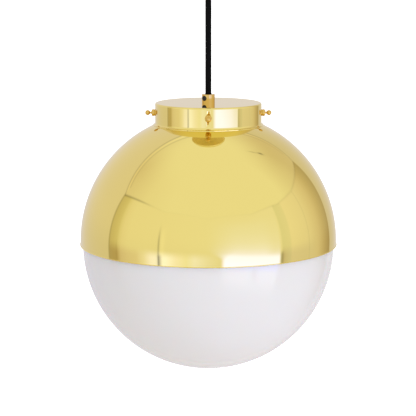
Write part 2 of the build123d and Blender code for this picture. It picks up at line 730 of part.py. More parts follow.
def cap_earth_screw():
    return earth_stud(CAP_UNDERSIDE, [(CAP_EARTH_INSET - NECK_BORE, 0)])


def lamp_lead(side):
    """One core from the cord's end down to a terminal of the lampholder."""
    end = BLOCK_TOP - HOLDER_POCKET_DEPTH + TERMINAL_SCREW_LENGTH + LEAD_TO_SCREW
    x, terminal = side * CORE_OFFSET, side * HOLDER_TERMINAL_OFFSET
    return lead(
        [
            (x, 0, LAMP_CORD_END),
            (x, 0, LAMP_CORD_END - LEAD_STRAIGHT),
            (terminal, 0, end + LEAD_DROP),
            (terminal, 0, end),
        ]
    )


# ---- Nodes -------------------------------------------------------------------------------------

nodes = {
    "ceiling_bracket": ceiling_bracket(),
    "ceiling_canopy": ceiling_canopy(),
    "rose_side_screws": rose_side_screws(),
    "canopy_tube": canopy_tube(),
    "canopy_washer": canopy_washer(),
    "canopy_locknut": canopy_locknut(),
    "terminal_block": terminal_block(),
    "terminal_screws": terminal_screws(),
    "bracket_earth_screw": bracket_earth_screw(),
    "canopy_cord_grip": canopy_cord_grip(),
    "canopy_grip_screw": grip_screw(ROSE_SCREW_LEVEL),
    "canopy_cord_end": canopy_cord_end(),
    "canopy_lead_live": canopy_lead(0),
    "canopy_lead_earth": canopy_lead(1),
    "canopy_lead_neutral": canopy_lead(2),
    "pendant_cord": pendant_cord(),
    "lamp_cord_grip": lamp_cord_grip(),
    "lamp_grip_screw": grip_screw(LAMP_SCREW_LEVEL),
    "lamp_cord_end": lamp_cord_end(),
    "lamp_tube": lamp_tube(),
    "lamp_washer": lamp_washer(),
    "lamp_locknut": lamp_locknut(),
    "gallery_cap": gallery_cap(),
    "gallery_bosses": gallery_bosses(),
    "brass_dome": brass_dome(),
    "glass_globe": glass_globe(),
    "globe_seal": globe_seal(),
    "cap_earth_screw": cap_earth_screw(),
    "lampholder_cap": lampholder_cap(),
    "lampholder_block": lampholder_block(),
    "lampholder_sleeve": lampholder_sleeve(),
    "lampholder_liner": lampholder_liner(),
    "holder_contact": holder_contact(),
    "holder_terminal_screws": holder_terminal_screws(),
    "lamp_lead_live": lamp_lead(1),
    "lamp_lead_neutral": lamp_lead(-1),
    "bulb_shell": bulb_shell(),
    "bulb_insulator": bulb_insulator(),
    "bulb_contact": bulb_contact(),
    "bulb_body": bulb_body(),
    "bulb_diffuser": bulb_diffuser(),
}
for side, azimuth in SCREW_SIDES.items():
    nodes[f"thumbscrew_{side}"] = thumbscrew(azimuth)
    nodes[f"tip_pad_{side}"] = tip_pad(azimuth)

os.makedirs("parts", exist_ok=True)
for name, piece in nodes.items():
    group = Compound(children=list(piece)) if isinstance(piece, list) else piece
    export_step(group, f"parts/{name}.step")

cord = nodes["pendant_cord"]
cord_volume = math.pi * CORD_RADIUS**2 * (CORD_FREE_LENGTH + 4 / 3 * CORD_RADIUS)
print(f"cord {CORD_FREE_LENGTH:.1f} mm free, volume {cord.volume:.1f} against {cord_volume:.1f} worked out")
print(f"rim level {RIM_LEVEL:.2f}, rim radius {RIM_RADIUS:.2f}, screw level {SCREW_LEVEL:.2f}")
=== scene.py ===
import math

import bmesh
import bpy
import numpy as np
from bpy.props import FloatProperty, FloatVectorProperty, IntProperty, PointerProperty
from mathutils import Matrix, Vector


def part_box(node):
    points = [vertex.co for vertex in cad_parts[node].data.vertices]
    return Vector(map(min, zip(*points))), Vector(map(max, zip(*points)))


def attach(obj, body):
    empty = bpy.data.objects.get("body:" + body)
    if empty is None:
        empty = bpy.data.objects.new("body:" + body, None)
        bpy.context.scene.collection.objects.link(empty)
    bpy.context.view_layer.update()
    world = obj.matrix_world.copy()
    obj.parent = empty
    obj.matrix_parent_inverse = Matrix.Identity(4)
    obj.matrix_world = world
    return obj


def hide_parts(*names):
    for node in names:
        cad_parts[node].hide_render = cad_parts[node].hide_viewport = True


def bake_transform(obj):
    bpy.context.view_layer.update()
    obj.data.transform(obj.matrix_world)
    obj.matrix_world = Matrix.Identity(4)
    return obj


bl_info = {
    "name": "Globe Pendant Light",
    "version": (1, 0, 0),
    "blender": (4, 5, 0),
    "location": "3D View > Sidebar > Pendant",
    "description": "Makes a globe pendant light: brass half-shell, opal globe, cap and textile cord",
    "category": "Object",
}

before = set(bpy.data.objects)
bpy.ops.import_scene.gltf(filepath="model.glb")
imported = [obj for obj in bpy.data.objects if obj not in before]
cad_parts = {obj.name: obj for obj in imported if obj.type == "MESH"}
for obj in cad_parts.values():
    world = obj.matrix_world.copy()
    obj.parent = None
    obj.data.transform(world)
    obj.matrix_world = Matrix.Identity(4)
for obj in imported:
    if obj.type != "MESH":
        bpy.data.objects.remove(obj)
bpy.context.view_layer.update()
MM = 0.001
SIDES = {"front": 270.0, "right": 0.0, "back": 90.0, "left": 180.0}


# ---- Sizes read from the frame, in mm ----


def box(node):
    """A node's lowest and highest corners in mm."""
    low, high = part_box(node)
    return low / MM, high / MM


GLOBE_HIGH = box("glass_globe")[1]
SHELL_LOW, SHELL_HIGH = box("brass_dome")
CAP_LOW, CAP_HIGH = box("gallery_cap")
BOSS_HIGH = box("gallery_bosses")[1]
CORD_LOW, CORD_HIGH = box("pendant_cord")
ROSE_LOW, ROSE_HIGH = box("ceiling_canopy")
SCREW_LOW, SCREW_HIGH = box("thumbscrew_right")

# Sheets, walls and bends that the boxes don't tell, with what follows from them.
RIM_LEVEL, RIM_RADIUS, RIM_BEAD = SHELL_LOW.z, SHELL_HIGH.x, 0.35
SHELL_RADIUS = RIM_RADIUS - 0.65
SHELL_CENTRE = RIM_LEVEL + 3.75
SHELL_SHEET = 0.9
CAP_TOP, FOOT_RADIUS = CAP_HIGH.z, CAP_HIGH.x
CAP_SHEET = 1.0
CAP_EDGE = 1.8
CAP_FOOT_EDGE = 0.9
BOSS_LENGTH = 4.0
BOSS_RADIUS = 3.6
CAP_RADIUS = BOSS_HIGH.x - BOSS_LENGTH
COLLAR_TOP = SHELL_HIGH.z
COLLAR_RADIUS = CAP_RADIUS - 1.3
GLOBE_RADIUS, GLASS_WALL = GLOBE_HIGH.x, 3.5
NECK_RADIUS = 50.0
NECK_ROOT = 6.0
NECK_ROOT_INSIDE = 2.5
LIP_PROJECTION = 5.5
LIP_HEIGHT = 4.0
ROSE_RADIUS, ROSE_SHEET, ROSE_EDGE = ROSE_HIGH.x, 1.0, 5.0
ROSE_SCREW_DROP = 9.0
ROSE_SCREW_RADIUS = 2.0

# Screws, tubes and threads.
SCREW_LEVEL = (SCREW_LOW.z + SCREW_HIGH.z) / 2
SCREW_RADIUS = 1.5
SCREW_PLAY = 0.05
SCREW_LENGTH = 21.4
SCREW_TIP = 1.7
SCREW_PITCH = 0.5
BALL_RADIUS = SCREW_HIGH.z - SCREW_LEVEL
BALL_CENTRE = SCREW_HIGH.x - 3.0
TUBE_RADIUS = box("lamp_tube")[1].x
TUBE_WALL = 1.25
TUBE_PITCH = 1.0
BULB_PITCH = 3.6

# The braid: its strands' line and core below the cord's skin, and each strand's half-sizes.
CORD_RADIUS = CORD_HIGH.x
STRAND_DEPTH = 0.2
STRAND_RELIEF = 0.13
STRAND_WIDTH = 0.72
STRAND_THICKNESS = 0.22
CORE_DEPTH = 0.3


# ---- Settings ----


def colour_setting(name, description, default):
    return FloatVectorProperty(name=name, description=description, default=default, subtype="COLOR",
                               min=0, max=1)


def number_setting(name, description, default, low=0, high=1, **kind):
    return FloatProperty(name=name, description=description, default=default, min=low, max=high, **kind)


def length_setting(name, description, default, low, high):
    return number_setting(name, description, default, low, high, unit="LENGTH")


class BrassSettings(bpy.types.PropertyGroup):
    """The brass parts."""

    sheet_colour: colour_setting("Sheet colour", "Polished spun brass", (0.83, 0.69, 0.225))
    # Painted shade: the turned parts' colour is the brass made darker and more orange, partly their own
    # alloy and partly painted shade and reflection for the small parts.
    turned_colour: colour_setting(
        "Turned colour", "Solid brass of screws, bosses and grips", (0.69, 0.455, 0.115))
    roughness: number_setting("Roughness", "How blurred the polish is", 0.014, subtype="FACTOR")
    waviness: length_setting("Waviness", "Depth of the spun sheet's slow waves", 0.00006, 0, 0.001)


class GlassSettings(bpy.types.PropertyGroup):
    """The blown opal globe."""

    colour: colour_setting("Colour", "Body colour of the opal glass", (0.68, 0.667, 0.665))
    roughness: number_setting(
        "Roughness", "Gloss of the fire-polished outside", 0.05, subtype="FACTOR")


class CordSettings(bpy.types.PropertyGroup):
    """The textile cord."""

    strands: IntProperty(
        name="Strands", description="Braided strands in each direction", default=12, min=4, max=24)
    lay: length_setting("Lay", "Length of one full turn of a strand", 0.020, 0.005, 0.1)
    colour: colour_setting("Colour", "Dyed textile", (0.0034, 0.0034, 0.0036))


class StudioSettings(bpy.types.PropertyGroup):
    """Camera, floor and soft light."""

    distance: length_setting("Distance", "Camera in front of the lamp's axis", 1.9577, 0.5, 10)
    aside: length_setting("Aside", "Camera to the left of the lamp's axis", 0.0004, -1, 1)
    height: length_setting("Height", "Camera above the dome's rim", 0.3681, -2, 4)
    pitch: number_setting(
        "Pitch", "Downward tilt of the camera", math.radians(9.478), -1.5, 1.5, subtype="ANGLE")
    lens: number_setting("Lens", "Focal length in mm on a 36 mm sensor", 147.1, 20, 400)
    floor: length_setting("Floor", "Floor below the ceiling", 2.4, 0.8, 6)
    light: number_setting("Light", "Brightness of the soft surround", 1.0, 0, 10)


class PendantSettings(bpy.types.PropertyGroup):
    """Everything that can be changed on the lamp."""

    brass: PointerProperty(type=BrassSettings)
    glass: PointerProperty(type=GlassSettings)
    cord: PointerProperty(type=CordSettings)
    studio: PointerProperty(type=StudioSettings)


def settings():
    return bpy.context.scene.pendant


# ---- Mesh helpers ----


def place(name, mesh, body=None, nodes=()):
    """Links a finished mesh, hangs it on a body and lets it stand for its CAD nodes."""
    piece = bpy.data.objects.new(name, mesh)
    bpy.context.scene.collection.objects.link(piece)
    if body:
        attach(piece, body)
    if nodes:
        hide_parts(*nodes)
    return piece


def mesh_from(name, bm, finish, sharp=38.0):
    """Turns a bmesh into a smooth mesh with crisp edges where it folds by more than the angle."""
    bmesh.ops.remove_doubles(bm, verts=bm.verts, dist=1e-7)
    bmesh.ops.recalc_face_normals(bm, faces=bm.faces)
    for face in bm.faces:
        face.smooth = True
    limit = math.radians(sharp)
    for edge in bm.edges:
        edge.smooth = len(edge.link_faces) != 2 or edge.calc_face_angle(0) < limit
    mesh = bpy.data.meshes.new(name)
    bm.to_mesh(mesh)
    bm.free()
    mesh.materials.append(finish)
    return mesh


def add_turned(bm, outline, segments=96, matrix=None):
    """Adds a closed (radius, level) outline in mm turned about its own upright axis."""
    matrix = matrix or Matrix.Identity(4)
    rings = []
    for radius, level in outline:
        count = 1 if radius < 1e-6 else segments
        ring = []
        for step in range(count):
            turn = 2 * math.pi * step / segments
            point = Vector((radius * math.cos(turn), radius * math.sin(turn), level)) * MM
            ring.append(bm.verts.new(matrix @ point))
        rings.append(ring)
    for lower, upper in zip(rings, rings[1:] + rings[:1]):
        for step in range(segments):
            after = (step + 1) % segments
            corners = [lower[step % len(lower)], lower[after % len(lower)],
                       upper[after % len(upper)], upper[step % len(upper)]]
            corners = list(dict.fromkeys(corners))
            if len(corners) > 2:
                bm.faces.new(corners)


def turned(name, outline, finish, segments=96, matrix=None):
    """A mesh turned from one outline."""
    bm = bmesh.new()
    add_turned(bm, outline, segments, matrix)
    return mesh_from(name, bm, finish)


def arc(centre, level, radius, start, end, steps):
    """Points of an arc in the (radius, level) plane, between two angles in degrees."""
    points = []
    for step in range(steps + 1):
        turn = math.radians(start + (end - start) * step / steps)
        points.append((centre + radius * math.cos(turn), level + radius * math.sin(turn)))
    return points


def rounded(corners, steps=6, guard=0.12):
    """An outline whose (radius, level, round) corners are rounded, with a close point beside each arc
    that keeps the flats flat."""
    outline = []
    count = len(corners)
    for index, corner in enumerate(corners):
        here = Vector(corner[:2])
        radius = corner[2] if len(corner) > 2 else 0
        if radius <= 0:
            outline.append(tuple(here))
            continue
        before = Vector(corners[index - 1][:2]) - here
        after = Vector(corners[(index + 1) % count][:2]) - here
        room = before.length, after.length
        before.normalize()
        after.normalize()
        half = before.angle(after) / 2
        reach = radius / math.tan(half)
        centre = here + (before + after).normalized() * radius / math.sin(half)
        first, last = here + before * reach, here + after * reach
        start = math.atan2(first.y - centre.y, first.x - centre.x)
        sweep = math.atan2(last.y - centre.y, last.x - centre.x) - start
        sweep = (sweep + math.pi) % (2 * math.pi) - math.pi
        if room[0] > reach + 2 * guard:
            outline.append(tuple(first + before * guard))
        for step in range(steps + 1):
            turn = start + sweep * step / steps
            outline.append((centre.x + radius * math.cos(turn), centre.y + radius * math.sin(turn)))
        if room[1] > reach + 2 * guard:
            outline.append(tuple(last + after * guard))
    return outline


def on_sphere(sphere, radius):
    """The level of a sphere round the half-shell's centre, at a distance from the axis."""
    return SHELL_CENTRE + math.sqrt(sphere**2 - radius**2)


def root(sphere, centre, wall, bend):
    """Where a sphere's outline stops, in degrees, and the arc that leads from there up a wall."""
    middle = wall + bend
    rise = math.sqrt((sphere + bend) ** 2 - middle**2)
    stop = math.degrees(math.atan2(rise, middle))
    return stop, arc(middle, centre + rise, bend, 180 + stop, 180, 8)


def outward(azimuth, level):
    """The placing of a piece whose own Z points out from the lamp's axis."""
    turn = Matrix.Rotation(math.radians(azimuth), 4, "Z")
    return turn @ Matrix.Translation((0, 0, level * MM)) @ Matrix.Rotation(math.radians(90), 4, "Y")


def pierced(piece_mesh, finish, azimuths, level, radius, low, high):
    """The mesh with round holes towards the lamp's axis, between two distances from it."""
    bm = bmesh.new()
    for azimuth in azimuths:
        add_turned(bm, [(0, low), (radius, low), (radius, high), (0, high)], 32,
                   outward(azimuth, level))
    drill = bpy.data.objects.new("drill", mesh_from("drill", bm, finish))
    body = bpy.data.objects.new("blank", piece_mesh)
    for helper in (drill, body):
        bpy.context.scene.collection.objects.link(helper)
    cut = body.modifiers.new("holes", "BOOLEAN")
    cut.object = drill
    cut.operation = "DIFFERENCE"
    cut.solver = "EXACT"
    made = evaluated(body)
    for helper in (drill, body):
        bpy.data.objects.remove(helper)
    return made


def evaluated(piece):
    """The plain mesh that a piece's modifiers make."""
    view = bpy.context.evaluated_depsgraph_get()
    view.update()
    return bpy.data.meshes.new_from_object(piece.evaluated_get(view), preserve_all_data_layers=True,
                                           depsgraph=view)


# ---- Geometry Nodes ----


def new_tree(name, inputs):
    """A geometry tree with a geometry input and output and named inputs."""
    tree = bpy.data.node_groups.new(name, "GeometryNodeTree")
    tree.interface.new_socket("Geometry", in_out="INPUT", socket_type="NodeSocketGeometry")
    for label, (kind, default) in inputs.items():
        socket = tree.interface.new_socket(label, in_out="INPUT", socket_type=f"NodeSocket{kind}")
        if default is not None:
            socket.default_value = default
    tree.interface.new_socket("Finish", in_out="INPUT", socket_type="NodeSocketMaterial")
    tree.interface.new_socket("Geometry", in_out="OUTPUT", socket_type="NodeSocketGeometry")
    return tree, tree.nodes.new("NodeGroupInput"), tree.nodes.new("NodeGroupOutput")


def add(tree, kind, values=None, **options):
    """Adds a node; values are sockets by name or index, as plain values or as (node, output) links."""
    node = tree.nodes.new(kind)
    for key, option in options.items():
        setattr(node, key, option)
    for key, value in (values or {}).items():
        if isinstance(value, tuple) and isinstance(value[0], bpy.types.Node):
            tree.links.new(value[0].outputs[value[1]], node.inputs[key])
        else:
            node.inputs[key].default_value = value
    return node


def maths(tree, operation, *values):
    """A Math node over numbers and links."""
    return add(tree, "ShaderNodeMath", dict(enumerate(values)), operation=operation), 0


def times(tree, first, second):
    return maths(tree, "MULTIPLY", first, second)


def join(tree, *parts):
    """Joins several (node, output) geometries."""
    joined = add(tree, "GeometryNodeJoinGeometry")
    for node, output in parts:
        tree.links.new(node.outputs[output], joined.inputs[0])
    return joined, 0


def sweep(tree, curve, profile):
    """A closed strip of one profile along a curve."""
    return add(tree, "GeometryNodeCurveToMesh", {
        "Curve": curve, "Profile Curve": profile, "Fill Caps": True}), 0


def close_tree(tree, given, output, geometry):
    """Ends a tree in Realize Instances and Set Material."""
    real = add(tree, "GeometryNodeRealizeInstances", {"Geometry": geometry})
    painted = add(tree, "GeometryNodeSetMaterial", {"Geometry": (real, 0), "Material": (given, "Finish")})
    tree.links.new(painted.outputs[0], output.inputs[0])
    return tree


def run_tree(name, tree, mesh, **values):
    """Runs a tree on a mesh with its inputs set by identifier, and returns the plain mesh."""
    helper = bpy.data.objects.new(name, mesh)
    bpy.context.scene.collection.objects.link(helper)
    modifier = helper.modifiers.new(name, "NODES")
    modifier.node_group = tree
    for socket in tree.interface.items_tree:
        if socket.in_out == "INPUT" and socket.name in values:
            modifier[socket.identifier] = values[socket.name]
    made = evaluated(helper)
    bpy.data.objects.remove(helper)
    made.name = name
    return made


def thread_tree():
    """Joins a helical ridge round the blank's upright axis, as on a screw or a threaded tube."""
    tree, given, output = new_tree("thread", {
        "Radius": ("Float", 0.005), "Pitch": ("Float", 0.001), "Turns": ("Float", 8.0),
        "Depth": ("Float", 0.0003), "Start": ("Float", 0.0), "Steps": ("Int", 24)})
    height = times(tree, (given, "Pitch"), (given, "Turns"))
    spiral = add(tree, "GeometryNodeCurveSpiral", {
        "Resolution": (given, "Steps"), "Rotations": (given, "Turns"), "Start Radius": (given, "Radius"),
        "End Radius": (given, "Radius"), "Height": height})
    lift = add(tree, "ShaderNodeCombineXYZ", {"Z": (given, "Start")})
    lifted = add(tree, "GeometryNodeTransform", {"Geometry": (spiral, 0), "Translation": (lift, 0)})
    upright = add(tree, "GeometryNodeSetCurveNormal", {0: (lifted, 0)}, mode="Z_UP")
    ridge = add(tree, "GeometryNodeCurvePrimitiveCircle", {"Resolution": 4, "Radius": (given, "Depth")})
    swept = sweep(tree, (upright, 0), (ridge, 0))
    return close_tree(tree, given, output, join(tree, (given, "Geometry"), swept))


def ring_tree():
    """Repeats a piece evenly round the lamp's axis."""
    tree, given, output = new_tree("ring_of", {"Count": ("Int", 4)})
    spots = add(tree, "GeometryNodePoints", {"Count": (given, "Count")})
    index = add(tree, "GeometryNodeInputIndex")
    step = maths(tree, "DIVIDE", 2 * math.pi, (given, "Count"))
    turn = add(tree, "FunctionNodeAxisAngleToRotation", {
        "Axis": (0, 0, 1), "Angle": times(tree, (index, 0), step)})
    around = add(tree, "GeometryNodeInstanceOnPoints", {
        "Points": (spots, 0), "Instance": (given, "Geometry"), "Rotation": (turn, 0)})
    return close_tree(tree, given, output, (around, 0))


def braid_tree():
    """Lays two sets of flat strands that pass over and under each other round an upright line."""
    tree, given, output = new_tree("braid", {
        "Radius": ("Float", 0.0031), "Strands": ("Int", 12), "Turns": ("Float", 6.0),
        "Relief": ("Float", 0.00014), "Width": ("Float", 0.0006), "Thickness": ("Float", 0.0002),
        "Core": ("Float", 0.003), "Steps": ("Int", 240)})
    line = add(tree, "GeometryNodeMeshToCurve", {0: (given, "Geometry")})
    fine = add(tree, "GeometryNodeResampleCurve", {"Curve": (line, 0), "Count": (given, "Steps")})
    strand = add(tree, "GeometryNodeDuplicateElements", {
        "Geometry": (fine, 0), "Amount": (given, "Strands")}, domain="SPLINE")
    along = add(tree, "GeometryNodeSplineParameter")
    share = maths(tree, "DIVIDE", (strand, 1), (given, "Strands"))
    wound = times(tree, (along, 0), (given, "Turns"))
    crossings = times(tree, wound, (given, "Strands"))
    wave = maths(tree, "COSINE", times(tree, crossings, 2 * math.pi))
    ribbon = add(tree, "GeometryNodeCurvePrimitiveCircle", {"Resolution": 6, "Radius": 1.0})
    size = add(tree, "ShaderNodeCombineXYZ", {"X": (given, "Thickness"), "Y": (given, "Width"), "Z": 1.0})
    flat = add(tree, "GeometryNodeTransform", {"Geometry": (ribbon, 0), "Scale": (size, 0)})
    layers = []
    for way in (1.0, -1.0):
        turn = times(tree, maths(tree, "ADD", share, times(tree, wound, way)), 2 * math.pi)
        rise = times(tree, times(tree, wave, way), (given, "Relief"))
        reach = maths(tree, "ADD", (given, "Radius"), rise)
        offset = add(tree, "ShaderNodeCombineXYZ", {
            "X": times(tree, reach, maths(tree, "COSINE", turn)),
            "Y": times(tree, reach, maths(tree, "SINE", turn))})
        helix = add(tree, "GeometryNodeSetPosition", {"Geometry": (strand, 0), "Offset": (offset, 0)})
        upright = add(tree, "GeometryNodeSetCurveNormal", {0: (helix, 0)}, mode="Z_UP")
        layers.append(sweep(tree, (upright, 0), (flat, 0)))
    round_core = add(tree, "GeometryNodeCurvePrimitiveCircle", {
        "Resolution": 24, "Radius": (given, "Core")})
    layers.append(sweep(tree, (line, 0), (round_core, 0)))
    return close_tree(tree, given, output, join(tree, *layers))


# ---- Finishes ----


def start_finish(name, colour, roughness=0.5, metallic=0.0, **direct):
    """A material whose shader's constant values are set on its own sockets."""
    material = bpy.data.materials.new(name)
    material.use_nodes = True
    tree = material.node_tree
    shader = next(n for n in tree.nodes if n.type == "BSDF_PRINCIPLED")
    shader.inputs["Base Color"].default_value = (*colour, 1)
    shader.inputs["Roughness"].default_value = roughness
    shader.inputs["Metallic"].default_value = metallic
    for key, value in direct.items():
        shader.inputs[key.replace("_", " ").title().replace("Ior", "IOR")].default_value = value
    return material, tree, shader


def object_point(tree):
    return add(tree, "ShaderNodeTexCoord"), "Object"


def round_axis(tree):
    """A point that only knows its distance from the lamp's axis and its level, for turning marks."""
    split = add(tree, "ShaderNodeSeparateXYZ", {0: object_point(tree)})
    squares = [times(tree, (split, side), (split, side)) for side in (0, 1)]
    far = maths(tree, "SQRT", maths(tree, "ADD", *squares))
    return add(tree, "ShaderNodeCombineXYZ", {"X": far, "Z": (split, 2)}), 0


def noise(tree, point, scale, detail=2.0, roughness=0.5):
    return add(tree, "ShaderNodeTexNoise", {
        "Vector": point, "Scale": scale, "Detail": detail, "Roughness": roughness}), 0


def spread(tree, value, low, high, start=0.3, end=0.7):
    """Maps a value from start..end to low..high, for roughness or masks."""
    return add(tree, "ShaderNodeMapRange", {
        "Value": value, "From Min": start, "From Max": end, "To Min": low, "To Max": high}), 0


def tint(tree, factor, first, second):
    """A colour between two others."""
    mixed = add(tree, "ShaderNodeMix", {"Factor": factor}, data_type="RGBA")
    mixed.inputs[6].default_value = (*first, 1)
    mixed.inputs[7].default_value = (*second, 1)
    return mixed, 2


def relief(tree, shader, *layers):
    """Stacks bumps of (height, strength, distance) on a shader's normal."""
    below = None
    for height, strength, distance in layers:
        values = {"Height": height, "Strength": strength, "Distance": distance}
        if below:
            values["Normal"] = below
        below = add(tree, "ShaderNodeBump", values), 0
    tree.links.new(below[0].outputs[0], shader.inputs["Normal"])


def wire(tree, source, shader, socket):
    tree.links.new(source[0].outputs[source[1]], shader.inputs[socket])


def scaled(colour, factor):
    return tuple(min(1.0, channel * factor) for channel in colour)


def uneven_colour(tree, shader, factor, colour, dark, pale):
    """Lets the base colour wander between a darker and a paler share of itself."""
    wire(tree, tint(tree, factor, scaled(colour, dark), scaled(colour, pale)), shader, "Base Color")


def uneven_gloss(tree, shader, factor, low, high):
    """Lets the roughness wander between two values."""
    wire(tree, spread(tree, factor, low, high), shader, "Roughness")


def brass(name, colour, roughness, ring_scale, ring_depth, waviness, smudge):
    """Brass with turning marks, slow waves from spinning and faint smudges in its polish."""
    material, tree, shader = start_finish(name, colour, roughness, 1.0)
    point = object_point(tree)
    marks = noise(tree, round_axis(tree), ring_scale, 4.0, 0.6)
    waves = noise(tree, point, 16.0, 1.0)
    uneven_gloss(tree, shader, noise(tree, point, 28.0, 6.0, 0.62), roughness, roughness + smudge)
    uneven_colour(tree, shader, noise(tree, point, 9.0, 3.0), colour, 0.985, 1.015)
    relief(tree, shader, (waves, 1.0, waviness), (marks, 0.35, ring_depth))
    return material


def polymer(name, colour, roughness, grain_scale, grain):
    """Moulded plastic, rubber or glaze: slightly uneven colour and a fine skin."""
    material, tree, shader = start_finish(name, colour, roughness)
    point = object_point(tree)
    fine = noise(tree, point, grain_scale, 4.0, 0.6)
    uneven_colour(tree, shader, noise(tree, point, 40.0, 3.0), colour, 0.93, 1.06)
    uneven_gloss(tree, shader, noise(tree, point, 140.0, 3.0), roughness * 0.85, roughness * 1.2)
    relief(tree, shader, (fine, 0.6, grain))
    return material


def plated(name, colour, roughness, cell_scale):
    """Plated steel: pale crystals in the plating, drawn lines and small dull spots."""
    material, tree, shader = start_finish(name, colour, roughness, 1.0)
    point = object_point(tree)
    cells = add(tree, "ShaderNodeTexVoronoi", {"Vector": point, "Scale": cell_scale}), "Color"
    bright = spread(tree, cells, 0.0, 1.0, 0.0, 1.0)
    uneven_colour(tree, shader, bright, colour, 0.9, 1.05)
    uneven_gloss(tree, shader, noise(tree, point, 300.0, 5.0), roughness, roughness + 0.15)
    relief(tree, shader, (noise(tree, round_axis(tree), 2500.0, 3.0), 0.4, 0.00002))
    return material


def striped_core(name, colour, stripe):
    """The insulation of one core, with its second colour in stripes 2.3 mm apart."""
    material, tree, shader = start_finish(name, colour, 0.42)
    split = add(tree, "ShaderNodeSeparateXYZ", {0: object_point(tree)})
    across = maths(tree, "SINE", times(tree, (split, 0), 2700.0))
    side = spread(tree, across, 0.0, 1.0, 0.15, 0.3)
    wire(tree, tint(tree, side, colour, stripe), shader, "Base Color")
    relief(tree, shader, (noise(tree, object_point(tree), 900.0, 3.0), 0.4, 0.00003))
    return material


def textile(name, colour):
    """Dyed yarn: fine fibres along the cord, the colour paler on the threads that the bump raises, and a
    soft sheen.
    """
    material, tree, shader = start_finish(name, colour, 0.8, specular_ior_level=0.06,
                                          sheen_weight=0.005, sheen_roughness=0.5)
    point = object_point(tree)
    fibres = noise(tree, point, 5200.0, 3.0, 0.6)
    # The colour grows paler where the fibre bump is high.
    uneven_colour(tree, shader, spread(tree, fibres, 0.0, 1.0, 0.35, 0.75), colour, 0.7, 1.9)
    uneven_gloss(tree, shader, noise(tree, point, 700.0, 2.0), 0.7, 0.88)
    relief(tree, shader, (fibres, 0.8, 0.00006))
    return material


def opal(name, colour, roughness):
    """Blown opal glass: glossy, cloudy white, with slow waves and rare tiny seeds."""
    material, tree, shader = start_finish(name, colour, roughness, ior=1.5, coat_weight=0.35,
                                          coat_roughness=0.02, subsurface_weight=0.12,
                                          subsurface_scale=0.006)
    point = object_point(tree)
    uneven_colour(tree, shader, noise(tree, point, 7.0, 2.0), colour, 0.988, 1.012)
    uneven_gloss(tree, shader, noise(tree, point, 60.0, 5.0), roughness, roughness + 0.05)
    seeds = add(tree, "ShaderNodeTexVoronoi", {"Vector": point, "Scale": 90.0}), "Distance"
    pits = spread(tree, seeds, 1.0, 0.0, 0.0, 0.06)
    relief(tree, shader, (noise(tree, point, 11.0, 1.0), 1.0, 0.00008), (pits, 0.15, 0.00002))
    return material


def recipes():
    """How each of the record's material slots is finished: a maker, its values and direct settings."""
    given = settings()
    sheet, solid_and_shade = tuple(given.brass.sheet_colour), tuple(given.brass.turned_colour)
    polish, waviness = given.brass.roughness, given.brass.waviness
    return {
        "polished_brass": (brass, sheet, polish, 1400.0, 0.0000012, waviness, 0.022),
        # Painted shade: the turned brass is darker than the sheet, partly its own alloy and partly
        # painted shade and reflection on the small parts.
        "turned_brass": (brass, solid_and_shade, 0.05, 4200.0, 0.000012, 0.0, 0.05),
        "satin_brass": (brass, (0.86, 0.76, 0.40), 0.38, 1800.0, 0.00001, 0.0, 0.12),
        "plain_brass": (brass, (0.62, 0.42, 0.13), 0.32, 2600.0, 0.00003, 0.0, 0.15),
        "zinc_steel": (plated, (0.56, 0.58, 0.60), 0.28, 260.0),
        "nickel_shell": (plated, (0.66, 0.63, 0.56), 0.18, 900.0),
        "black_nylon": (polymer, (0.010, 0.010, 0.011), 0.42, 900.0, 0.00003),
        "opal_glass": (opal, tuple(given.glass.colour), given.glass.roughness),
        "black_textile": (textile, tuple(given.cord.colour)),
        "white_silicone": (polymer, (0.80, 0.79, 0.76), 0.48, 500.0, 0.00005),
        "white_nylon": (polymer, (0.78, 0.77, 0.73), 0.40, 700.0, 0.00004),
        "glazed_porcelain": (polymer, (0.84, 0.82, 0.77), 0.09, 240.0, 0.00006),
        "black_phenolic": (polymer, (0.014, 0.013, 0.012), 0.24, 420.0, 0.00004),
        "black_bulb_glass": (polymer, (0.006, 0.006, 0.008), 0.08, 300.0, 0.00004),
        "bulb_housing": (polymer, (0.80, 0.80, 0.78), 0.46, 1000.0, 0.00004),
        "bulb_diffuser": (polymer, (0.88, 0.88, 0.86), 0.55, 1600.0, 0.00003),
        "brown_core": (striped_core, (0.09, 0.028, 0.010), (0.11, 0.036, 0.013)),
        "blue_core": (striped_core, (0.010, 0.085, 0.33), (0.014, 0.10, 0.38)),
        "earth_core": (striped_core, (0.055, 0.30, 0.025), (0.72, 0.60, 0.03)),
    }


def finish(slot):
    """The finish of a material slot, made the first time that a piece asks for it."""
    label = slot.replace("_", " ").capitalize()
    maker, *values = recipes()[slot]
    return bpy.data.materials.get(label) or maker(label, *values)


# ---- Studio light ----

# The plan of the room that the polish reflects, in heights of its ceiling above the lamp. The lamp
# hangs at (0, 0) and the camera looks along +Y.
ROOM_PLAN = [(-1.906, 0.234), (-1.22, -1.22), (0, -1.9), (1.25, -1.35), (1.74, -0.466), (1.77, 0.31),
             (1.337, 1.433), (0, 0.66)]
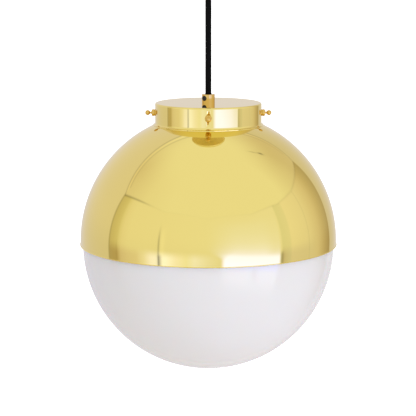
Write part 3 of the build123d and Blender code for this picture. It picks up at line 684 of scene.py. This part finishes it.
# Tones of walls, ceiling and floor: an azimuth in degrees, 0 in front of the lamp and + to its
# right, then red, green and blue in per cent.
WALL_TONES = [
    (-180, 80, 76, 80), (-150, 86, 82, 90), (-99, 87, 83, 89), (-97, 70, 64, 49), (-92, 75, 69, 51),
    (-88, 80, 75, 58), (-85.5, 89, 85, 73), (-82, 95, 91, 86), (-75, 98, 96, 93), (0, 100, 100, 100),
    (66.5, 100, 100, 106), (68.5, 88, 90, 89), (76.5, 92, 92, 93), (78.5, 100, 97, 100),
    (100, 94, 90, 92), (115, 82, 74, 69), (125, 68, 59, 48), (136.6, 54, 46, 34), (137.4, 77, 72, 71),
    (180, 80, 76, 80)]
CEILING_TONES = [
    (-180, 86, 82, 82), (-105, 83, 76, 72), (-70, 96, 94, 92), (-40, 100, 100, 100),
    (85, 100, 100, 100), (125, 78, 71, 66), (145, 77, 69, 63), (180, 86, 82, 82)]
FLOOR_TONES = [
    (-180, 82, 75, 68), (-90, 86, 75, 64), (-20, 85, 81, 80), (60, 105, 102, 108), (110, 104, 101, 108),
    (180, 82, 75, 68)]
# What the walls gain or lose close to the lamp's own level, where furniture and light stand.
LOW_TONES = [
    (-98, 100, 100, 100), (-96, 81, 75, 77), (-87, 72, 63, 57), (-83, 87, 81, 85), (-66, 94, 89, 91),
    (-58, 108, 108, 130), (-51, 125, 130, 220), (-37, 130, 142, 240), (-28, 120, 122, 170),
    (-19, 112, 115, 130), (-12, 114, 120, 180), (0, 105, 107, 130), (12, 100, 100, 100),
    (66, 100, 100, 100), (69, 84, 76, 80), (75, 88, 86, 94), (96, 90, 89, 93), (112, 100, 100, 100),
    (135, 92, 88, 78), (140, 100, 100, 100)]
# The window's tones by elevation in degrees, and the azimuths of its two sides.
WINDOW_TONES = [
    (-50, 95, 92, 92), (-32, 160, 157, 158), (-23, 220, 216, 218), (-14.5, 240, 235, 240),
    (-13, 170, 180, 340), (-11, 140, 150, 420), (-4, 126, 144, 370), (-1, 115, 123, 250),
    (3, 108, 114, 185), (8, 105, 109, 150), (16, 102, 105, 128), (28, 100, 101, 110)]
WINDOW_SIDES = 12.0, 65.5
# What the floor loses straight below the lamp.
BENEATH_LOSS = 0.12, 0.17, 0.24
# Posts and edges on the walls: azimuth, half-width, depth, and the elevations between which each
# fades in going down and fades out at its foot.
NO_END = -91, -90
POSTS = [
    (-88, 0.8, 0.07, (2, -2), NO_END), (-44, 0.9, 0.36, (22, 4), NO_END),
    (-43, 2.0, 0.36, (-3, -7), (-20, -13)), (-40.5, 2.0, -0.06, (22, 8), NO_END),
    (42, 1.6, 0.90, (-13, -14.5), (-27, -23)), (67.5, 1.6, 0.40, (-3, -7), (-20, -13))]
# A loose wire by the ceiling: azimuth, elevation, the half-width of each, and depth.
WIRE = [(122, 53, 1.3, 1.8, 0.62), (121, 58.5, 1.0, 3.2, 0.30)]
# The seam under the ceiling: azimuths and its depth at each; and the back wall's two ends.
CEILING_SEAM = (-80, -40, 30, 70, 110, 137), (0.10, 0.02, 0.02, 0.08, 0.12, 0.16)
BACK_WALL = -97, 137
# The ball that carries the light, in metres and degrees, the floor's reach and the white behind all.
SURROUND_RADIUS = 8.0
SURROUND_STEP = 0.5
FLOOR_REACH = 90.0
BACKGROUND_STRENGTH = 1.05


def stops(value, table):
    """Colours between the stops of a table of (value, red, green, blue) in per cent."""
    places, *tones = zip(*table)
    return np.stack([np.interp(value, places, np.array(tone) / 100) for tone in tones], -1)


def ramp(value, start, end):
    """Rises smoothly from 0 at the start to 1 at the end."""
    share = np.clip((value - start) / (end - start), 0, 1)
    return share * share * (3 - 2 * share)


def line(offset, width):
    """A soft line of the given half-width."""
    return np.exp(-((offset / width) ** 2))


def wall_distance(azimuth):
    """How far the room's walls are in each direction."""
    turn = np.radians(azimuth)
    ray = np.stack([np.sin(turn), -np.cos(turn)], -1)
    nearest = np.full(azimuth.shape, np.inf)
    for start, end in zip(ROOM_PLAN, ROOM_PLAN[1:] + ROOM_PLAN[:1]):
        side = end[0] - start[0], end[1] - start[1]
        across = ray[..., 0] * side[1] - ray[..., 1] * side[0]
        distance = (start[0] * side[1] - start[1] * side[0]) / across
        share = (start[0] * ray[..., 1] - start[1] * ray[..., 0]) / across
        hit = (distance > 0) & (share >= -1e-6) & (share <= 1 + 1e-6)
        nearest = np.where(hit & (distance < nearest), distance, nearest)
    return nearest


def walls_and_ceiling(azimuth, elevation, seam):
    """The pale walls up to their seam with the ceiling, and the ceiling above it."""
    wall = stops(azimuth, WALL_TONES)
    sides = ramp(azimuth, -93, -100) + ramp(azimuth, 160, 138)
    wall = wall * (1 - 0.04 * ramp(elevation, 12, -12) * sides)[..., None]
    low = ramp(elevation, 0, -8) * ramp(elevation, -20, -13)
    wall = wall * (1 + (stops(azimuth, LOW_TONES) - 1) * low[..., None])
    ceiling = stops(azimuth, CEILING_TONES)
    ceiling = ceiling + (1 - ceiling) * ramp(elevation, 42, 72)[..., None]
    return np.where((elevation > seam)[..., None], ceiling, wall)


def window(azimuth, elevation):
    """The tall window's tones, and how much of them each direction gets."""
    left, right = WINDOW_SIDES
    # Its sides blur upwards, and its right end is dimmer above its foot.
    blur = 14 * ramp(elevation, -8, 2)
    inside = ramp(azimuth, left - 2 - blur, left + 3 + blur) * ramp(azimuth, right + 1.5, right - 1.5)
    near = 1 - 0.45 * ramp(azimuth, 48, 62) * ramp(elevation, -8, -2)
    tones = stops(elevation + 0.08 * np.clip(azimuth - left, 0, 60), WINDOW_TONES)
    return tones, (inside * near * ramp(elevation, 31, 18))[..., None]


def seams(azimuth, elevation, seam):
    """How much the seams, posts and wires darken each direction."""
    left, right = BACK_WALL
    on_seam = line(elevation - seam, 0.7)
    shade = 0.30 * on_seam * ramp(azimuth, -55, -80) * ramp(azimuth, left - 0.5, left)
    shade += on_seam * np.interp(azimuth, *CEILING_SEAM)
    # A cove above the back wall: a dark line, a pale band and a second dark line.
    back = (azimuth < left) | (azimuth > right)
    shade += back * (0.20 * on_seam + 0.20 * line(elevation - seam - 5, 0.8))
    shade -= back * 0.09 * line(elevation - seam - 2.5, 1.2)
    # The room's corners on both sides.
    shade += 0.22 * line(azimuth - left + 0.5, 0.9) * ramp(elevation, seam + 1, seam - 1)
    shade += 0.10 * line(azimuth - 100, 0.7) * ramp(elevation, seam, seam - 1)
    for post, width, depth, start, end in POSTS:
        shade += depth * line(azimuth - post, width) * ramp(elevation, *start) * ramp(elevation, *end)
    for across, up, width, height, depth in WIRE:
        shade += depth * line(azimuth - across, width) * line(elevation - up, height)
    return shade[..., None]


def room_tones(azimuth, elevation):
    """The light from each direction: pale walls and ceiling, their seams, one tall window, the floor."""
    seam = np.degrees(np.arctan(1 / wall_distance(azimuth)))
    tone = walls_and_ceiling(azimuth, elevation, seam)
    glass, share = window(azimuth, elevation)
    tone = tone + (glass - tone) * share
    tone = tone * (1 - seams(azimuth, elevation, seam))
    tone = tone + (stops(azimuth, FLOOR_TONES) - tone) * ramp(elevation, -15, -50)[..., None]
    return tone * (1 - ramp(elevation, -45, -80)[..., None] * np.array(BENEATH_LOSS))


def surround_mesh():
    """A wide ball round the lamp, with the room's light painted on it as an attribute."""
    columns, rows = round(360 / SURROUND_STEP), round(180 / SURROUND_STEP)
    elevation, azimuth = np.meshgrid(np.linspace(-90, 90, rows + 1), np.linspace(-180, 180, columns + 1),
                                     indexing="ij")
    level, turn = np.radians(elevation), np.radians(azimuth)
    points = np.stack([np.cos(level) * np.sin(turn), -np.cos(level) * np.cos(turn), np.sin(level)], -1)
    centre = np.array([0, 0, SHELL_CENTRE * MM])
    index = np.arange(points.shape[0] * points.shape[1]).reshape(points.shape[:2])
    faces = np.stack([index[:-1, :-1], index[1:, :-1], index[1:, 1:], index[:-1, 1:]], -1).reshape(-1, 4)
    mesh = bpy.data.meshes.new("surround")
    mesh.from_pydata((points * SURROUND_RADIUS + centre).reshape(-1, 3).tolist(), [], faces.tolist())
    tones = np.ones((index.size, 4), np.float32)
    tones[:, :3] = room_tones(azimuth, elevation).reshape(-1, 3)
    mesh.attributes.new("tone", "FLOAT_COLOR", "POINT").data.foreach_set("color", tones.ravel())
    return mesh


def glowing(name, strength, attribute):
    """A surface that gives light by an attribute, in softer colours where it only lights things."""
    material = bpy.data.materials.new(name)
    material.use_nodes = True
    tree = material.node_tree
    tree.nodes.clear()
    tone = add(tree, "ShaderNodeAttribute", attribute_name=attribute)
    ray = add(tree, "ShaderNodeLightPath")
    soft = maths(tree, "MULTIPLY_ADD", (ray, "Is Diffuse Ray"), -0.75, 1.0)
    colour = add(tree, "ShaderNodeHueSaturation", {"Saturation": soft, "Color": (tone, "Color")})
    light = add(tree, "ShaderNodeEmission", {"Strength": strength, "Color": (colour, 0)})
    output = add(tree, "ShaderNodeOutputMaterial")
    tree.links.new(light.outputs[0], output.inputs["Surface"])
    material.cycles.emission_sampling = "NONE"
    return material


# ---- Operators ----


class PENDANT_OT_studio(bpy.types.Operator):
    """Sets the camera, the pale floor and the soft light of a pale room"""

    bl_idname = "pendant.studio"
    bl_label = "Studio"

    def execute(self, context):
        given = settings().studio
        scene = context.scene
        data = bpy.data.cameras.new("Camera")
        data.lens = given.lens
        data.sensor_width = 36.0
        data.clip_end = 500.0
        camera = bpy.data.objects.new("Camera", data)
        camera.location = (-given.aside, -given.distance, RIM_LEVEL * MM + given.height)
        camera.rotation_euler = (math.pi / 2 - given.pitch, 0, 0)
        scene.collection.objects.link(camera)
        scene.camera = camera

        surround = place("surround", surround_mesh())
        surround.data.materials.append(glowing("Room light", given.light, "tone"))
        surround.visible_camera = False
        surround.visible_shadow = False

        bm = bmesh.new()
        bmesh.ops.create_grid(bm, x_segments=8, y_segments=8, size=FLOOR_REACH,
                              matrix=Matrix.Translation((0, 0, -given.floor)))
        floor = place("floor", mesh_from("floor", bm, self.floor_finish()))
        floor.visible_glossy = False
        floor.visible_diffuse = False

        world = bpy.data.worlds.new("Studio")
        world.use_nodes = True
        background = world.node_tree.nodes["Background"]
        background.inputs["Color"].default_value = (1, 1, 1, 1)
        background.inputs["Strength"].default_value = BACKGROUND_STRENGTH
        scene.world = world
        scene.view_settings.view_transform = "Standard"
        return {"FINISHED"}

    def floor_finish(self):
        """A seamless pale floor that stays white up to its horizon."""
        material, tree, shader = start_finish("Studio floor", (0.86, 0.86, 0.86), 0.8,
                                              emission_strength=0.6)
        shader.inputs["Emission Color"].default_value = (1, 1, 1, 1)
        grain = noise(tree, object_point(tree), 60.0, 3.0)
        wire(tree, tint(tree, grain, (0.85, 0.85, 0.85), (0.88, 0.88, 0.88)), shader, "Base Color")
        return material


class PENDANT_OT_cord(bpy.types.Operator):
    """Braids the taut textile cord between its two grips"""

    bl_idname = "pendant.cord"
    bl_label = "Cord"

    def execute(self, context):
        given = settings().cord
        low, high = (CORD_LOW.z + CORD_RADIUS) * MM, (CORD_HIGH.z - CORD_RADIUS) * MM
        curve = bpy.data.curves.new("route", "CURVE")
        curve.dimensions = "3D"
        curve.resolution_u = 24
        spline = curve.splines.new("NURBS")
        spline.points.add(2)
        for point, level in zip(spline.points, (low, (low + high) / 2, high)):
            point.co = (0, 0, level, 1)
        spline.order_u = 3
        spline.use_endpoint_u = True
        route = bpy.data.objects.new("route", curve)
        context.scene.collection.objects.link(route)
        line_mesh = evaluated(route)
        bpy.data.objects.remove(route)
        mesh = run_tree("cord", braid_tree(), line_mesh, Radius=(CORD_RADIUS - STRAND_DEPTH) * MM,
                        Strands=given.strands, Turns=(high - low) / given.lay,
                        Relief=STRAND_RELIEF * MM, Width=STRAND_WIDTH * MM,
                        Thickness=STRAND_THICKNESS * MM, Core=(CORD_RADIUS - CORE_DEPTH) * MM,
                        Finish=finish("black_textile"))
        for face in mesh.polygons:
            face.use_smooth = True
        cord = place("cord", mesh, None, ["pendant_cord"])
        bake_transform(cord)
        return {"FINISHED"}


class PENDANT_OT_rose(bpy.types.Operator):
    """Spins the ceiling rose and drills it for its two side screws"""

    bl_idname = "pendant.rose"
    bl_label = "Ceiling rose"

    def execute(self, context):
        brass_finish = finish("satin_brass")
        floor, inside = ROSE_LOW.z, ROSE_RADIUS - ROSE_SHEET
        outline = rounded([
            (TUBE_RADIUS, floor, 0.2), (ROSE_RADIUS, floor, ROSE_EDGE), (ROSE_RADIUS, ROSE_HIGH.z, 0.4),
            (inside, ROSE_HIGH.z, 0.4), (inside, floor + ROSE_SHEET, ROSE_EDGE - ROSE_SHEET),
            (TUBE_RADIUS, floor + ROSE_SHEET, 0.2)], steps=10)
        mesh = turned("rose", outline, brass_finish, 192)
        mesh = pierced(mesh, brass_finish, (SIDES["right"], SIDES["left"]),
                       ROSE_HIGH.z - ROSE_SCREW_DROP, ROSE_SCREW_RADIUS, inside - 5, ROSE_RADIUS + 5)
        place("rose", mesh, "ceiling_rose", ["ceiling_canopy"])
        return {"FINISHED"}


class PENDANT_OT_cap(bpy.types.Operator):
    """Turns the gallery cap with its flared foot and drills it for the thumbscrews"""

    bl_idname = "pendant.cap"
    bl_label = "Gallery cap"

    def execute(self, context):
        brass_finish = finish("polished_brass")
        inside, under = CAP_RADIUS - CAP_SHEET, CAP_TOP - CAP_SHEET
        flare = FOOT_RADIUS - CAP_RADIUS
        bend = CAP_LOW.z + CAP_FOOT_EDGE + flare
        seat = SHELL_RADIUS + 0.01
        outline = rounded([
            (TUBE_RADIUS, CAP_TOP, 0.15), (CAP_RADIUS, CAP_TOP, CAP_EDGE), (CAP_RADIUS, bend + 0.4)], 10)
        outline += arc(FOOT_RADIUS, bend, flare, 180, 268, 10)
        outline += arc(FOOT_RADIUS - 0.3, CAP_LOW.z + 0.5, 0.3, 80, -40, 6)
        rests = FOOT_RADIUS, CAP_RADIUS + 1.3, CAP_RADIUS + 0.5, CAP_RADIUS - 0.1
        outline += [(radius, on_sphere(seat, radius)) for radius in rests]
        outline += rounded([
            (inside, bend), (inside, under, CAP_EDGE - CAP_SHEET), (TUBE_RADIUS, under, 0.15)], 6)
        mesh = turned("cap", outline, brass_finish, 256)
        mesh = pierced(mesh, brass_finish, SIDES.values(), SCREW_LEVEL, SCREW_RADIUS + SCREW_PLAY,
                       inside - 3, CAP_RADIUS + 3)
        place("cap", mesh, "lamp", ["gallery_cap"])
        return {"FINISHED"}


class PENDANT_OT_bosses(bpy.types.Operator):
    """Turns one boss and repeats it round the cap"""

    bl_idname = "pendant.bosses"
    bl_label = "Screw bosses"

    def execute(self, context):
        start, end = CAP_RADIUS - 0.6, BOSS_HIGH.x
        bore, collar = SCREW_RADIUS + SCREW_PLAY, BOSS_RADIUS + 0.4
        outline = rounded([
            (bore, start), (BOSS_RADIUS, start), (BOSS_RADIUS, CAP_RADIUS + 0.4, 0.1),
            (collar, CAP_RADIUS + 0.8, 0.4), (collar, end - 0.1, 1.5), (bore + 0.5, end, 0.4),
            (bore, end - 0.3, 0.1)], 7, 0.05)
        blank = turned("boss", outline, finish("turned_brass"), 48, outward(0, SCREW_LEVEL))
        mesh = run_tree("bosses", ring_tree(), blank, Count=len(SIDES), Finish=finish("turned_brass"))
        place("bosses", mesh, "lamp", ["gallery_bosses"])
        return {"FINISHED"}


class PENDANT_OT_shell(bpy.types.Operator):
    """Spins the brass half-shell with its skirt, rim and collar"""

    bl_idname = "pendant.shell"
    bl_label = "Brass half-shell"

    def execute(self, context):
        brass_finish = finish("polished_brass")
        inner = SHELL_RADIUS - SHELL_SHEET
        start, root_arc = root(SHELL_RADIUS, SHELL_CENTRE, COLLAR_RADIUS, 0.8)
        inner_end = math.degrees(math.acos((COLLAR_RADIUS - SHELL_SHEET) / inner))
        rim_inside = RIM_RADIUS - SHELL_SHEET
        outline = arc(RIM_RADIUS - RIM_BEAD, RIM_LEVEL + RIM_BEAD, RIM_BEAD, -90, 20, 5)
        outline += [(SHELL_RADIUS + 0.1, RIM_LEVEL + 0.75), (SHELL_RADIUS, RIM_LEVEL + 0.85),
                    (SHELL_RADIUS, RIM_LEVEL + 1.0)]
        outline += arc(0, SHELL_CENTRE, SHELL_RADIUS, 0, start, 120)
        outline += root_arc[1:]
        outline += rounded([(COLLAR_RADIUS, COLLAR_TOP - 2), (COLLAR_RADIUS, COLLAR_TOP, 0.3),
                            (COLLAR_RADIUS - SHELL_SHEET, COLLAR_TOP, 0.3),
                            (COLLAR_RADIUS - SHELL_SHEET, COLLAR_TOP - 2)], 4)
        outline += arc(0, SHELL_CENTRE, inner, inner_end, 0, 60)
        outline += arc(rim_inside + RIM_BEAD, RIM_LEVEL + RIM_BEAD, RIM_BEAD, 180, 270, 4)
        mesh = turned("half_shell", outline, brass_finish, 256)
        mesh = pierced(mesh, brass_finish, SIDES.values(), SCREW_LEVEL, SCREW_RADIUS + 0.5,
                       COLLAR_RADIUS - 4, COLLAR_RADIUS + 4)
        place("half_shell", mesh, "lamp", ["brass_dome"])
        return {"FINISHED"}


class PENDANT_OT_globe(bpy.types.Operator):
    """Blows the opal globe with its neck and rounded lip"""

    bl_idname = "pendant.globe"
    bl_label = "Opal globe"

    def execute(self, context):
        inner, bore = GLOBE_RADIUS - GLASS_WALL, NECK_RADIUS - GLASS_WALL
        outer_end, outer_root = root(GLOBE_RADIUS, RIM_LEVEL, NECK_RADIUS, NECK_ROOT)
        inner_end, inner_root = root(inner, RIM_LEVEL, bore, NECK_ROOT_INSIDE)
        lip_radius, lip_top = NECK_RADIUS + LIP_PROJECTION, GLOBE_HIGH.z
        outline = arc(0, RIM_LEVEL, GLOBE_RADIUS, -90, outer_end, 130) + outer_root[1:]
        outline += rounded([
            (NECK_RADIUS, lip_top - LIP_HEIGHT - 2), (NECK_RADIUS, lip_top - LIP_HEIGHT, 0.8),
            (lip_radius, lip_top - LIP_HEIGHT, 1.6), (lip_radius, lip_top, 1.6), (bore, lip_top, 1.2),
            (bore, lip_top - 4)], 6)
        outline += list(reversed(inner_root))
        outline += arc(0, RIM_LEVEL, inner, inner_end, -90, 90)[1:]
        place("globe", turned("globe", outline, finish("opal_glass"), 192), "lamp", ["glass_globe"])
        return {"FINISHED"}


class PENDANT_OT_thumbscrews(bpy.types.Operator):
    """Turns and threads the four ball-headed thumbscrews"""

    bl_idname = "pendant.thumbscrews"
    bl_label = "Thumbscrews"

    def execute(self, context):
        neck, core = 1.2, SCREW_RADIUS - 0.15
        tip = SCREW_HIGH.x - SCREW_LENGTH
        shoulder = tip + SCREW_TIP
        thread_end = BOSS_HIGH.x + 0.3
        base = math.degrees(math.acos(neck / BALL_RADIUS))
        outline = [(0, tip), (0.8, tip), (1.0, tip + 0.2), (1.0, shoulder), (core - 0.2, shoulder)]
        outline += [(core, shoulder + 0.2), (core, thread_end), (neck, thread_end + 0.3)]
        outline += arc(0, BALL_CENTRE, BALL_RADIUS, -base, 90, 16)
        length = thread_end - shoulder - 0.6
        for side, turn in SIDES.items():
            blank = turned("blank", outline, finish("turned_brass"), 48)
            mesh = run_tree("thumbscrew", thread_tree(), blank, Radius=core * MM, Pitch=SCREW_PITCH * MM,
                            Turns=length / SCREW_PITCH, Depth=0.15 * MM, Start=(shoulder + 0.3) * MM,
                            Steps=20, Finish=finish("turned_brass"))
            mesh.transform(outward(turn, SCREW_LEVEL))
            place(f"thumbscrew_{side}_turned", mesh, f"screw_{side}", [f"thumbscrew_{side}"])
        return {"FINISHED"}


class PENDANT_OT_tubes(bpy.types.Operator):
    """Threads the two short tubes that carry the grips"""

    bl_idname = "pendant.tubes"
    bl_label = "Threaded tubes"

    def execute(self, context):
        for node, body in (("lamp_tube", "lamp"), ("canopy_tube", "ceiling_rose")):
            low, high = box(node)
            radius, bore = high.x - 0.18, high.x - TUBE_WALL
            outline = rounded([(bore, low.z, 0.2), (radius, low.z, 0.3), (radius, high.z, 0.3),
                               (bore, high.z, 0.2)], 3, 0.05)
            blank = turned("blank", outline, finish("plain_brass"), 64)
            length = high.z - low.z - 1.4
            mesh = run_tree(node, thread_tree(), blank, Radius=radius * MM, Pitch=TUBE_PITCH * MM,
                            Turns=length / TUBE_PITCH, Depth=0.17 * MM, Start=(low.z + 0.7) * MM,
                            Steps=40, Finish=finish("plain_brass"))
            place(f"{node}_threaded", mesh, body, [node])
        return {"FINISHED"}


class PENDANT_OT_bulb(bpy.types.Operator):
    """Rolls the thread into the bulb's shell"""

    bl_idname = "pendant.bulb"
    bl_label = "Bulb"

    def execute(self, context):
        low, high = box("bulb_shell")
        core, skirt, mouth = high.x - 0.55, high.x - 0.1, high.x - 3.55
        outline = rounded([
            (core - 0.5, low.z), (skirt, low.z, 0.2), (skirt, low.z + 1.6, 0.3),
            (core, low.z + 2.2, 0.3), (core, high.z, 1.0), (mouth, high.z, 0.2),
            (mouth, high.z - 0.5, 0.1), (core - 0.5, high.z - 0.5, 0.4)], 4, 0.05)
        blank = turned("blank", outline, finish("nickel_shell"), 72)
        shell = run_tree("bulb_shell", thread_tree(), blank, Radius=core * MM, Pitch=BULB_PITCH * MM,
                         Turns=(high.z - low.z - 4.6) / BULB_PITCH, Depth=0.5 * MM,
                         Start=(low.z + 3.0) * MM, Steps=72, Finish=finish("nickel_shell"))
        place("bulb_shell_threaded", shell, "lamp", ["bulb_shell"])
        return {"FINISHED"}


class PENDANT_OT_fittings(bpy.types.Operator):
    """Gives every other fitting its finish"""

    bl_idname = "pendant.fittings"
    bl_label = "Fittings"

    def execute(self, context):
        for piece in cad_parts.values():
            for held in piece.material_slots:
                if held.material.name in recipes():
                    held.material = finish(held.material.name)
        return {"FINISHED"}


OPERATORS = (
    PENDANT_OT_studio, PENDANT_OT_cord, PENDANT_OT_rose, PENDANT_OT_cap, PENDANT_OT_bosses,
    PENDANT_OT_shell, PENDANT_OT_globe, PENDANT_OT_thumbscrews, PENDANT_OT_tubes, PENDANT_OT_bulb,
    PENDANT_OT_fittings)


class PENDANT_PT_lamp(bpy.types.Panel):
    """The lamp's settings and the steps that make it"""

    bl_idname = "PENDANT_PT_lamp"
    bl_label = "Globe pendant"
    bl_space_type = "VIEW_3D"
    bl_region_type = "UI"
    bl_category = "Pendant"

    def draw(self, context):
        column = self.layout.column()
        for group in (settings().brass, settings().glass, settings().cord, settings().studio):
            for name in group.__annotations__:
                column.prop(group, name)
        for operator in OPERATORS:
            column.operator(operator.bl_idname)


CLASSES = (BrassSettings, GlassSettings, CordSettings, StudioSettings, PendantSettings, *OPERATORS,
           PENDANT_PT_lamp)


def register():
    for each in CLASSES:
        bpy.utils.register_class(each)
    bpy.types.Scene.pendant = PointerProperty(type=PendantSettings)


def unregister():
    del bpy.types.Scene.pendant
    for each in reversed(CLASSES):
        bpy.utils.unregister_class(each)


def main():
    register()
    for operator in OPERATORS:
        group, name = operator.bl_idname.split(".")
        getattr(getattr(bpy.ops, group), name)()


if __name__ == "__main__":
    main()
